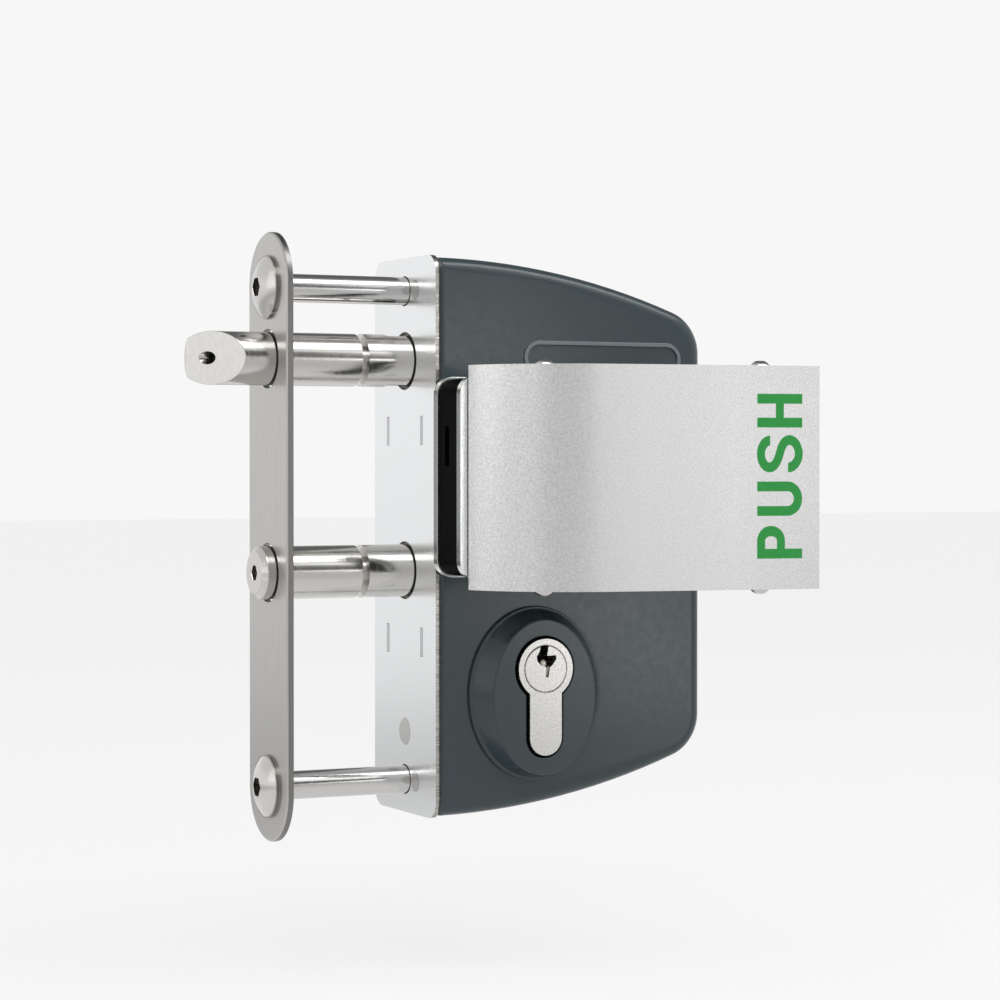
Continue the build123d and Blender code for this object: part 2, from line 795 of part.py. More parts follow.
def pad_cover_plate():
    plate = along_y(stack_outline(0), cover_front, body_front)
    for x, z in stack_screw_places():
        plate -= countersunk(screw_plane(x, cover_front, z, (0, 1, 0)), m4_flat_head_radius + seat_clearance,
                             m4_flat_head_height, m4_radius + seat_clearance, stack_plate_thickness)
    low, high = arm_plate_levels()
    left, right = cover_window()
    plate -= box(left, right, cover_front, body_front, low - 2 * body_clearance, high + 2 * body_clearance)
    for z in knuckle_screw_heights():
        plate -= countersunk(screw_plane(hinge_x, body_front, z, (0, -1, 0)),
                             m3_flat_head_radius + seat_clearance, m3_flat_head_height,
                             m3_radius + seat_clearance, stack_plate_thickness)
    return plate


def stack_screws():
    length = housing_wall + stack_screw_reach + 2 * stack_plate_thickness + pad_body_depth - seat_clearance
    screws = []
    for x, z in stack_screw_places():
        screw = countersunk(screw_plane(x, cover_front, z, (0, 1, 0)), m4_flat_head_radius,
                            m4_flat_head_height, m4_radius, length)
        socket = along_y(Pos(x, z) * hexagon(m4_socket), cover_front, cover_front + m4_socket_depth)
        screws.append(screw - socket)
    return screws


# Hinge of the push pad
def knuckle_screw_heights():
    return spindle_height - knuckle_half_height / 2, spindle_height + knuckle_half_height / 2


def hinge_knuckle():
    low = spindle_height - knuckle_half_height
    high = spindle_height + knuckle_half_height
    body = rod_z(hinge_x, hinge_y, hinge_boss_radius, low, high)
    body += box(hinge_x - hinge_boss_radius, hinge_x + hinge_boss_radius, hinge_y, cover_front, low, high)
    body -= rod_z(hinge_x, hinge_y, hinge_pin_radius + running_clearance, low, high)
    for z in knuckle_screw_heights():
        body -= rod_y(hinge_x, z, m3_radius + thread_clearance, hinge_y + hinge_pin_radius, cover_front)
    return body


def knuckle_screws():
    length = stack_plate_thickness + hinge_y_gap - hinge_pin_radius - body_clearance
    return [countersunk(screw_plane(hinge_x, body_front, z, (0, -1, 0)), m3_flat_head_radius,
                        m3_flat_head_height, m3_radius, length) for z in knuckle_screw_heights()]


def hinge_pin():
    reach = pad_height / 2 - cap_thickness - seat_clearance
    return rod_z(hinge_x, hinge_y, hinge_pin_radius, spindle_height - reach, spindle_height + reach)


# Band of the pad section between two depths below its face
def pad_point(depth, degrees, flat):
    x, y = polar(pad_arc_radius - depth, down_degrees - degrees)
    along_x_step = flat * math.cos(math.radians(pad_tilt))
    along_y_step = -flat * math.sin(math.radians(pad_tilt))
    return pad_centre[0] + x + along_x_step, pad_centre[1] + y + along_y_step


def pad_band(depth_out, depth_in, start, flat):
    size = start - pad_tilt
    outer = CenterArc(pad_centre, pad_arc_radius - depth_out, down_degrees - start, size)
    inner = CenterArc(pad_centre, pad_arc_radius - depth_in, down_degrees - start, size)
    edges = [outer, inner, Line(outer @ 0, inner @ 0), Line(outer @ 1, pad_point(depth_out, pad_tilt, flat)),
             Line(inner @ 1, pad_point(depth_in, pad_tilt, flat)),
             Line(pad_point(depth_out, pad_tilt, flat), pad_point(depth_in, pad_tilt, flat))]
    return make_face(edges)


def channel_places():
    return [pad_point(channel_offset, channel_angle, 0),
            pad_point(channel_offset, pad_tilt, channel_flat_distance)]


# Push pad, a curved aluminium section with screw channels, a rib and hinge bosses
def push_pad():
    wall = pad_band(0, pad_wall, pad_start_angle + pad_overrun, pad_flat_length)
    wall -= Pos(pad_left, pad_edge_y + pad_overrun) * Rectangle(4 * pad_overrun, 2 * pad_overrun)
    edge = wall.vertices().sort_by(Axis.X)
    wall = fillet([edge[0], edge[-1]], pad_edge)
    pad = along_z(wall, pad_low, pad_high)
    low = pad_low + cap_thickness
    high = pad_high - cap_thickness
    lip = pad_band(pad_wall / 2, pad_wall + pad_lip, pad_tilt + pad_lip_margin, pad_flat_length)
    lip -= pad_band(0, pad_wall + 2 * pad_lip, pad_tilt + 2 * pad_lip_margin, pad_flat_length - pad_wall)
    rib = Pos(rib_x + pad_wall / 2, (rib_back + pad_centre[1] - pad_arc_radius) / 2) * Rectangle(
        pad_wall, rib_back - pad_centre[1] + pad_arc_radius)
    rib &= Pos(*pad_centre) * Circle(pad_arc_radius - pad_wall / 2)
    pad += along_z(lip + rib, low, high)
    for x, y in channel_places():
        pad += along_z(Pos(x, y) * Circle(channel_radius), low, high)
        pad -= rod_z(x, y, m3_radius + thread_clearance, low, high)
    lean = math.degrees(math.atan2(pad_centre[0] - hinge_x, pad_centre[1] - hinge_y))
    web_x, web_y = pad_point(pad_wall / 2, lean, 0)
    web = make_hull([*(Pos(hinge_x, hinge_y) * Circle(hinge_boss_radius)).edges(),
                     *(Pos(web_x, web_y) * Circle(pad_wall / 2 - pad_web_inset)).edges()])
    inner = knuckle_half_height + knuckle_gap
    for z0, z1 in ((low, spindle_height - inner), (spindle_height + inner, high)):
        pad += along_z(web, z0, z1)
    pad -= rod_z(hinge_x, hinge_y, hinge_pin_radius + running_clearance, low, high)
    for z in arm_screw_heights():
        pad -= rod_x((rib_back + rib_front()) / 2, z, m3_radius + thread_clearance, rib_x, rib_x + pad_wall)
    return pad


def rib_front():
    depth = pad_arc_radius - pad_wall
    return pad_centre[1] - math.sqrt(depth ** 2 - (pad_centre[0] - rib_x - pad_wall) ** 2)


# End caps that sit behind the face, flush with its ends
def pad_cap(low, high):
    start = pad_start_angle - cap_start_inset
    flat = pad_flat_length - pad_wall
    cap = along_z(pad_band(pad_wall + seat_clearance, pad_wall + cap_depth, start, flat), low, high)
    for x, y in channel_places():
        cap -= rod_z(x, y, m3_radius + seat_clearance, low, high)
    return cap


def cap_screws():
    screws = []
    for x, y in channel_places():
        for end, direction in ((pad_high, 1), (pad_low, -1)):
            ball = (m3_head_radius ** 2 + m3_head_height ** 2) / (2 * m3_head_height)
            dome = Pos(x, y, end + direction * (m3_head_height - ball)) * Sphere(ball)
            z0, z1 = sorted((end, end + direction * ball))
            dome &= box(x - ball, x + ball, y - ball, y + ball, z0, z1)
            reach = end - direction * (cap_thickness + cap_screw_bite)
            shank = rod_z(x, y, m3_radius, *sorted((reach, end)))
            z0, z1 = sorted((end + direction * m3_head_height,
                             end + direction * (m3_head_height - m3_socket_depth)))
            socket = along_z(Pos(x, y) * hexagon(m3_socket), z0, z1)
            screws.append(dome + shank - socket)
    return screws


# Drive arm between the pad and the crank ball; its slot follows the ball
def ball_in_arm(share):
    turn = math.radians(pad_travel * share)
    swing = math.radians(half_spindle_travel - spindle_travel * share)
    x = backset + crank_ball_distance * math.sin(swing) - hinge_x
    y = crank_ball_y - hinge_y
    return (hinge_x + x * math.cos(turn) + y * math.sin(turn),
            hinge_y - x * math.sin(turn) + y * math.cos(turn))


def cover_window():
    reach = crank_ball_radius + arm_slot_clearance + arm_prong
    places = []
    for step in range(slot_steps + 1):
        turn = math.radians(pad_travel * step / slot_steps)
        for x0 in (ball_in_arm(1)[0] - reach, ball_in_arm(0)[0] + reach):
            for y0 in (cover_front, rib_back, crank_ball_y):
                x = x0 - hinge_x
                y = y0 - hinge_y
                places.append((hinge_x + x * math.cos(turn) - y * math.sin(turn),
                               hinge_y + x * math.sin(turn) + y * math.cos(turn)))
    xs = [x for x, y in places if cover_front - arm_prong < y]
    return min(xs) - 2 * body_clearance, max(xs) + 2 * body_clearance


def arm_screw_heights():
    return spindle_height, spindle_height + arm_screw_offset


def drive_arm():
    low, high = arm_plate_levels()
    start, middle, end = ball_in_arm(0), ball_in_arm(0.5), ball_in_arm(1)
    slot_radius = crank_ball_radius + arm_slot_clearance
    prong = slot_radius + arm_prong
    flange_left = rib_x + pad_wall
    flange_right = flange_left + arm_plate_thickness
    flange_y = rib_front() + body_clearance
    root = Pos(flange_left + arm_root_width / 2, (flange_y + rib_back) / 2) * Rectangle(
        arm_root_width, rib_back - flange_y)
    tip = [Pos(*place) * Circle(prong) for place in (start, end)]
    blade = make_hull([*tip[0].edges(), *tip[1].edges(), *root.edges()])
    behind_rib = arm_root_width
    blade -= Pos(flange_left - behind_rib / 2, rib_back - behind_rib) * Rectangle(
        behind_rib, 2 * behind_rib + 2 * body_clearance)
    # The tip is cut so that it stays clear of the base plate when the pad is pushed in
    clear = base_front - body_clearance - hinge_y
    reach = stack_height
    cut = Pos(backset, clear + reach / 2) * Rectangle(2 * reach, reach)
    cut = Pos(hinge_x, hinge_y) * Rot(0, 0, -pad_travel) * cut
    open_end = (start[0] + slot_mouth * (start[0] - middle[0]),
                start[1] + slot_mouth * (start[1] - middle[1]))
    places = (start, middle, end, open_end)
    first, half_way, last, outside = [Pos(*place) * Circle(slot_radius) for place in places]
    slot = make_hull([*first.edges(), *half_way.edges(), *last.edges()])
    mouth = make_hull([*first.edges(), *outside.edges()])
    arm = along_z(blade - cut - slot - mouth, low, high)
    flange = box(flange_left, flange_right, flange_y, rib_back, low, spindle_height + arm_flange_half_height)
    screw_y = (rib_back + rib_front()) / 2
    for z in arm_screw_heights():
        flange -= rod_x(screw_y, z, m3_radius + seat_clearance, flange_left, flange_right)
    return arm + flange


def arm_screws():
    screws = []
    right = rib_x + pad_wall + arm_plate_thickness
    y = (rib_back + rib_front()) / 2
    for z in arm_screw_heights():
        head = rod_x(y, z, m3_head_radius, right, right + m3_head_height)
        shank = rod_x(y, z, m3_radius, rib_x, right)
        socket = along_x(Pos(y, z) * hexagon(m3_socket), right + m3_head_height - m3_socket_depth,
                         right + m3_head_height)
        screws.append(head + shank - socket)
    return screws


# Key cylinder with the usual round-and-web section
def cylinder_profile(grow):
    top = Pos(backset, cylinder_height) * Circle(profile_radius + grow)
    web_end = cylinder_height + profile_radius - profile_height + profile_web / 2
    web = Rectangle(profile_web + 2 * grow, cylinder_height - web_end)
    web = Pos(backset, (cylinder_height + web_end) / 2) * web
    foot = Pos(backset, web_end) * Circle(profile_web / 2 + grow)
    return top + web + foot


def cylinder_body():
    body = along_y(cylinder_profile(0), -cylinder_half_length, cylinder_half_length)
    room = cylinder_height - profile_radius
    body -= box(backset - profile_height, backset + profile_height, -cam_space_half, cam_space_half,
                room, cylinder_height + profile_height)
    bore_radius = plug_radius + running_clearance
    body -= rod_y(backset, cylinder_height, bore_radius, -cylinder_half_length, cylinder_half_length)
    rims = body.edges().filter_by(GeomType.CIRCLE)
    rims = rims.filter_by(lambda edge: abs(edge.radius - bore_radius) < seat_clearance).group_by(Axis.Y)
    body = chamfer([*rims[0], *rims[-1]], bore_chamfer)
    low = cylinder_height - bore_radius - chamber_length
    for side in (-1, 1):
        for x, y in pin_places(side):
            body -= rod_z(x, y, pin_radius + running_clearance, low, cylinder_height)
    z = cylinder_height - cylinder_screw_drop
    return body - rod_x(0, z, m5_radius + thread_clearance, 0, backset + profile_radius)


def plug(side):
    low, high = sorted((side * cam_space_half, side * cylinder_half_length))
    body = rod_y(backset, cylinder_height, plug_radius, low, high)
    body = chamfer(body.edges().sort_by(Axis.Y)[-1 if side > 0 else 0], plug_chamfer)
    face = side * cylinder_half_length
    slot = make_face(Polyline(*[(-side * x, z) for x, z in keyway_outline], close=True))
    body -= along_y(Pos(backset, cylinder_height) * slot, *sorted((face, face - side * keyway_depth)))
    for x, y in pin_places(side):
        body -= rod_z(x, y, pin_radius + running_clearance, cylinder_height - plug_radius,
                      cylinder_height + pin_bore_top)
    return body


# Pins of the cylinder, the tops of the key pins seen in the keyway
def pin_places(side):
    x = backset - side * pin_offset
    first = cylinder_half_length - pin_first
    return [(x, side * (first - pin_pitch * count)) for count in range(len(pin_tops))]


def key_pins(side):
    room = rod_y(backset, cylinder_height, plug_radius - running_clearance,
                 -cylinder_half_length, cylinder_half_length)
    pins = []
    for (x, y), top in zip(pin_places(side), pin_tops):
        shoulder = cylinder_height + top - pin_radius
        pin = rod_z(x, y, pin_radius, cylinder_height - plug_radius, shoulder)
        pin += Pos(x, y, shoulder) * Sphere(pin_radius)
        pins.append(pin & room)
    return pins


def driver_pins():
    top = cylinder_height - plug_radius - body_clearance
    return [rod_z(x, y, pin_radius, top - driver_length, top)
            for side in (-1, 1) for x, y in pin_places(side)]


def cylinder_cam():
    outline = Circle(cam_ring_radius) + cam_outline(up_degrees - cam_half_angle, 0)
    return along_y(Pos(backset, cylinder_height) * outline, -cam_half_width, cam_half_width)


def cylinder_screw():
    place = screw_plane(0, 0, cylinder_height - cylinder_screw_drop, (1, 0, 0))
    return countersunk(place, m5_flat_head_radius, m5_flat_head_height, m5_radius, cylinder_screw_tip)


# Oval rose with a stepped foot
def oval(width, height, z):
    return Pos(backset, z) * Ellipse(width / 2, height / 2)


def cylinder_rose(side):
    middle = cylinder_height + profile_radius - profile_height / 2
    base = middle + rose_rise
    face = side * back_y
    step = side * (back_y + rose_step)
    end = side * (back_y + rose_depth)
    foot = along_y(oval(rose_width, rose_height, base), *sorted((face, step)))
    foot = fillet(foot.faces().sort_by(Axis.Y)[-1 if side > 0 else 0].edges(), rose_lip)
    wide = oval(rose_width - 2 * rose_ledge, rose_height - 2 * rose_ledge, base)
    narrow = oval(rose_front_width, rose_front_height, middle)
    crown = loft([Plane.XZ.offset(-step) * wide, Plane.XZ.offset(-end) * narrow])
    crown = fillet(crown.faces().sort_by(Axis.Y)[-1 if side > 0 else 0].edges(), rose_edge)
    return foot + crown - along_y(cylinder_profile(rose_gap), *sorted((face, end)))


# Lever handle and its rose on the back
def handle_rose():
    end = back_y + handle_rose_depth
    rose = rod_y(backset, spindle_height, handle_rose_radius, back_y, end)
    rose = fillet(rose.faces().sort_by(Axis.Y)[-1].edges(), handle_rose_edge)
    return rose - rod_y(backset, spindle_height, handle_neck_radius + running_clearance, back_y, end)


def lever_handle():
    start = back_y + seat_clearance
    neck = rod_y(backset, spindle_height, handle_neck_radius, start, handle_neck_end)
    left = backset - handle_neck_radius
    right = backset + handle_length
    grip = box(left, right, handle_neck_end - handle_neck_overlap, handle_neck_end + handle_grip_depth,
               spindle_height - handle_grip_height / 2, spindle_height + handle_grip_height / 2)
    grip = fillet(grip.edges().filter_by(Axis.Y), handle_grip_height / 2 - handle_end_flat)
    grip = fillet(grip.faces().sort_by(Axis.Y)[-1].edges(), handle_rounding)
    grip = fillet(grip.faces().sort_by(Axis.Y)[0].edges(), handle_rounding / 2)
    body = neck + grip - square_bore(start, spindle_back + seat_clearance)
    low = spindle_height - handle_neck_radius
    tapping = Pos(backset, handle_grub_y) * Circle(grub_radius + thread_clearance)
    return body - along_z(tapping, low, spindle_height)


def write(name, shape):
    solids = []
    for piece in (shape if isinstance(shape, list) else [shape]):
        solids += list(piece.solids())
    result = solids[0] if len(solids) == 1 else Compound(children=solids)
    export_step(result, os.path.join("parts", name + ".step"))


os.makedirs("parts", exist_ok=True)
nodes = {
    "face_plate": face_plate(),
    "fixing_screws": fixing_screws(),
    "mounting_plate": mounting_plate(),
    "plate_screws": plate_screws(),
    "anchor_blocks": anchor_blocks(),
    "front_shell": front_shell(),
    "rear_shell": rear_shell(),
    "case_screws": case_screws(),
    "case_plate_front": case_plate(-1),
    "case_plate_rear": case_plate(1),
    "case_spacers": case_spacers(),
    "spring_bracket": spring_bracket(),
    "latch_bolt": latch_bolt(),
    "latch_adjuster": latch_adjuster(),
    "latch_carrier": latch_carrier(),
    "latch_bush": bolt_bush(latch_height),
    "latch_spring": latch_spring(),
    "deadbolt": deadbolt(),
    "deadbolt_carrier": deadbolt_carrier(),
    "deadbolt_bush": bolt_bush(deadbolt_height),
    "follower": follower(),
    "follower_bushes": follower_bushes(),
    "return_spring": return_spring(),
    "spindle": spindle(),
    "spindle_crank": spindle_crank(),
    "grub_screws": grub_screws(),
    "pad_base_plate": pad_base_plate(),
    "pad_body": pad_body(),
    "pad_cover_plate": pad_cover_plate(),
    "stack_screws": stack_screws(),
    "hinge_knuckle": hinge_knuckle(),
    "knuckle_screws": knuckle_screws(),
    "hinge_pin": hinge_pin(),
    "push_pad": push_pad(),
    "pad_cap_top": pad_cap(pad_high - cap_thickness, pad_high),
    "pad_cap_bottom": pad_cap(pad_low, pad_low + cap_thickness),
    "cap_screws": cap_screws(),
    "drive_arm": drive_arm(),
    "arm_screws": arm_screws(),
    "cylinder_body": cylinder_body(),
    "front_plug": plug(-1),
    "rear_plug": plug(1),
    "front_key_pins": key_pins(-1),
    "rear_key_pins": key_pins(1),
    "driver_pins": driver_pins(),
    "cylinder_cam": cylinder_cam(),
    "cylinder_screw": cylinder_screw(),
    "front_cylinder_rose": cylinder_rose(-1),
    "rear_cylinder_rose": cylinder_rose(1),
    "handle_rose": handle_rose(),
    "lever_handle": lever_handle(),
}
for name, shape in nodes.items():
    write(name, shape)
print("latch travel", round(latch_travel, 2), "cam half angle", round(cam_half_angle, 2),
      "hinge", round(hinge_x, 2), round(hinge_y, 2))
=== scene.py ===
import math

import bmesh
import bpy
from mathutils import Matrix, Quaternion, Vector


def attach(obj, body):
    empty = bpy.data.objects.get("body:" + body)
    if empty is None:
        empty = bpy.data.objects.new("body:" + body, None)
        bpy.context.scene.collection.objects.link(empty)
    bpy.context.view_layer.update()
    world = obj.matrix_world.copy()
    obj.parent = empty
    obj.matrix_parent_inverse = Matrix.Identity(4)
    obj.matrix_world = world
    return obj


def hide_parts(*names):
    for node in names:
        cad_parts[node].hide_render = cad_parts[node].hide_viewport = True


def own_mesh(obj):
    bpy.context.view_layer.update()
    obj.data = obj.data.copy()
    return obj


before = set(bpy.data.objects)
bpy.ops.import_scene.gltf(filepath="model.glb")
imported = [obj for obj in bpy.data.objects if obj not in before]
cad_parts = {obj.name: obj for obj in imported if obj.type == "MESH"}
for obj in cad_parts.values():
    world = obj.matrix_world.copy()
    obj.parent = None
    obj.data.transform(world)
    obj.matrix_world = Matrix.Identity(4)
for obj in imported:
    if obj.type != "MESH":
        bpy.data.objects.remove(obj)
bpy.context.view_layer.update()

# Camera at the photograph's angle: 0.80 m out at the front left, just above the middle of the housing
# and dipped by under a degree. Its long lens keeps the sides of the lock nearly parallel.
camera_place = (-0.32632, -0.73471, 0.02123)
camera_turn = 25.9
camera_dip = 0.79
camera_data = bpy.data.cameras.new("camera")
camera_data.lens = 100.8
camera_data.sensor_width = 36.0
camera_data.clip_start = 0.05
camera = bpy.data.objects.new("camera", camera_data)
camera.location = camera_place
camera.rotation_euler = (math.radians(90 - camera_dip), 0, math.radians(-camera_turn))
bpy.context.collection.objects.link(camera)
bpy.context.scene.camera = camera


# Studio room: a white backdrop all round, which the camera and the metal see alike, and over it a
# dimmer ceiling and darker parts where the camera stands, beside it and above the back. Those are out
# of the camera's sight, and curved metal shows them as soft dark stripes.
def feed(tree, value, socket):
    """Links a node's output to a socket, or writes a plain number or colour there."""
    if isinstance(value, bpy.types.NodeSocket):
        tree.links.new(value, socket)
    else:
        socket.default_value = value


def calculate(tree, operation, first, second):
    maths = tree.nodes.new("ShaderNodeMath")
    maths.operation = operation
    feed(tree, first, maths.inputs[0])
    feed(tree, second, maths.inputs[1])
    return maths.outputs["Value"]


def reach_along(tree, place, way):
    """How far a place lies along a way, or how squarely a direction points that way."""
    reach = tree.nodes.new("ShaderNodeVectorMath")
    reach.operation = "DOT_PRODUCT"
    reach.inputs[1].default_value = way
    tree.links.new(place, reach.inputs[0])
    return reach.outputs["Value"]


def spread(tree, value, start, end, low=0.0, high=1.0, smooth=False):
    """Low where the value is at start, high where it is at end, and held level past them."""
    ramp = tree.nodes.new("ShaderNodeMapRange")
    if smooth:
        ramp.interpolation_type = "SMOOTHSTEP"
    ramp.inputs["From Min"].default_value = start
    ramp.inputs["From Max"].default_value = end
    ramp.inputs["To Min"].default_value = low
    ramp.inputs["To Max"].default_value = high
    tree.links.new(value, ramp.inputs["Value"])
    return ramp.outputs["Result"]


def mixed_colour(tree, share, first, second):
    """The first colour where the share is 0, and the second where it is 1."""
    first_socket = 6
    second_socket = 7
    colour_output = 2
    mix = tree.nodes.new("ShaderNodeMix")
    mix.data_type = "RGBA"
    feed(tree, share, mix.inputs[0])
    feed(tree, first, mix.inputs[first_socket])
    feed(tree, second, mix.inputs[second_socket])
    return mix.outputs[colour_output]


def grey(level):
    return (level, level, level, 1)


def backdrop_share(tree, light_path):
    """1 for the rays that show the white backdrop: the camera's, and those mirrored or let through."""
    shown = light_path.outputs["Is Camera Ray"]
    for kind in ("Is Glossy Ray", "Is Transmission Ray"):
        shown = calculate(tree, "MAXIMUM", shown, light_path.outputs[kind])
    return shown


def room_patch(walls, middle, edge, full, level):
    """Brings the walls to a level round one direction; edge and full are cosines of the angle from it."""
    toward = reach_along(sky, direction.outputs["Generated"], Vector(middle).normalized())
    hidden = calculate(sky, "MULTIPLY", spread(sky, toward, edge, full, smooth=True), unseen)
    return mixed_colour(sky, hidden, walls, grey(level))


backdrop_white = 0.93
room_white = 0.96
world = bpy.data.worlds.new("studio")
bpy.context.scene.world = world
world.use_nodes = True
sky = world.node_tree
sky.nodes.clear()
direction = sky.nodes.new("ShaderNodeTexCoord")
rays = sky.nodes.new("ShaderNodeLightPath")
unseen = calculate(sky, "SUBTRACT", 1.0, rays.outputs["Is Camera Ray"])
walls = mixed_colour(sky, backdrop_share(sky, rays), grey(room_white), grey(backdrop_white))
walls = room_patch(walls, middle=(0, 0, 1), edge=0.14, full=0.36, level=0.77)
walls = room_patch(walls, middle=(0, 0, 1), edge=0.45, full=1.0, level=0.62)
walls = room_patch(walls, middle=(-0.437, -0.90, 0.0), edge=0.84, full=0.99, level=0.60)
walls = room_patch(walls, middle=(0.41, -0.91, 0.0), edge=0.97, full=0.99, level=0.40)
walls = room_patch(walls, middle=(0.34, -0.87, 0.33), edge=0.970, full=0.992, level=0.08)
walls = room_patch(walls, middle=(0.35, 0.47, 0.80), edge=0.70, full=0.95, level=0.15)
background = sky.nodes.new("ShaderNodeBackground")
world_out = sky.nodes.new("ShaderNodeOutputWorld")
sky.links.new(walls, background.inputs["Color"])
sky.links.new(background.outputs["Background"], world_out.inputs["Surface"])


# Soft boxes: a long strip overhead draws the highlight along the housing's edge and on the round
# bolts, a small leaning card at the front right draws the sheen across the housing's face, one above
# it softens the fall from the edge's highlight, and a weak box on the left lights the pad's bend.
def soft_box(name, place, aim, width, height, power, roll=0.0):
    lamp = bpy.data.lights.new(name, "AREA")
    lamp.shape = "RECTANGLE"
    lamp.size = width
    lamp.size_y = height
    lamp.energy = power
    holder = bpy.data.objects.new(name, lamp)
    holder.location = place
    facing = (Vector(aim) - Vector(place)).to_track_quat("-Z", "Y")
    holder.rotation_euler = (facing @ Quaternion((0, 0, 1), math.radians(roll))).to_euler()
    bpy.context.collection.objects.link(holder)


soft_box("overhead_strip", place=(0.35, -0.575, 1.0), aim=(0.35, -0.01, 0.03),
         width=1.8, height=0.52, power=9.4)
soft_box("sheen_card", place=(0.415, -0.73, -0.035), aim=(0.04, -0.02, -0.015),
         width=0.10, height=0.34, power=0.258, roll=34.0)
soft_box("edge_card", place=(0.36, -0.52, 0.32), aim=(0.04, -0.02, 0.07),
         width=0.24, height=0.24, power=0.20)
soft_box("left_box", place=(-1.40, 0.10, 0.42), aim=(0.0, -0.04, 0.0),
         width=0.8, height=0.7, power=0.5)

# Plain pale floor under the lock, which keeps its soft shadow. It glows as white as the backdrop for
# the camera and the metal, and metal sees it dimmer towards the front and in a band at the back left.
floor_size = 6.0
floor_height = -0.125
floor_glow = 0.8
floor_paint = 0.8
floor_white = 0.98
floor_mesh = bmesh.new()
bmesh.ops.create_grid(floor_mesh, x_segments=1, y_segments=1, size=floor_size)
bmesh.ops.translate(floor_mesh, verts=floor_mesh.verts, vec=(0, 0, floor_height))
floor_data = bpy.data.meshes.new("floor")
floor_mesh.to_mesh(floor_data)
floor_mesh.free()
floor = bpy.data.objects.new("floor", floor_data)
bpy.context.collection.objects.link(floor)
pale = bpy.data.materials.new("pale_floor")
pale.use_nodes = True
paint = pale.node_tree
matt = paint.nodes["Principled BSDF"]
matt.inputs["Roughness"].default_value = 0.9
lit = paint.nodes.new("ShaderNodeEmission")
seen = paint.nodes.new("ShaderNodeLightPath")
on_floor = paint.nodes.new("ShaderNodeTexCoord").outputs["Object"]
to_back = reach_along(paint, on_floor, (0, 1, 0))
to_back_left = reach_along(paint, on_floor, (-0.35, 0.94, 0))
front_to_back = spread(paint, to_back, start=-0.35, end=0.15, low=0.62, high=0.95)
into_band = spread(paint, to_back_left, start=0.15, end=0.42, low=1.0, high=0.6)
out_of_band = spread(paint, to_back_left, start=0.6, end=1.1, low=0.6, high=1.0)
band = calculate(paint, "MAXIMUM", into_band, out_of_band)
floor_level = calculate(paint, "MULTIPLY", front_to_back, band)
for whiteness, socket in ((floor_paint, matt.inputs["Base Color"]), (floor_white, lit.inputs["Color"])):
    pale_or_dim = mixed_colour(paint, seen.outputs["Is Camera Ray"], floor_level, grey(whiteness))
    paint.links.new(pale_or_dim, socket)
glow = calculate(paint, "MULTIPLY", backdrop_share(paint, seen), floor_glow)
share = paint.nodes.new("ShaderNodeMixShader")
paint.links.new(glow, share.inputs["Fac"])
paint.links.new(matt.outputs["BSDF"], share.inputs[1])
paint.links.new(lit.outputs["Emission"], share.inputs[2])
paint.links.new(share.outputs["Shader"], paint.nodes["Material Output"].inputs["Surface"])
floor_data.materials.append(pale)


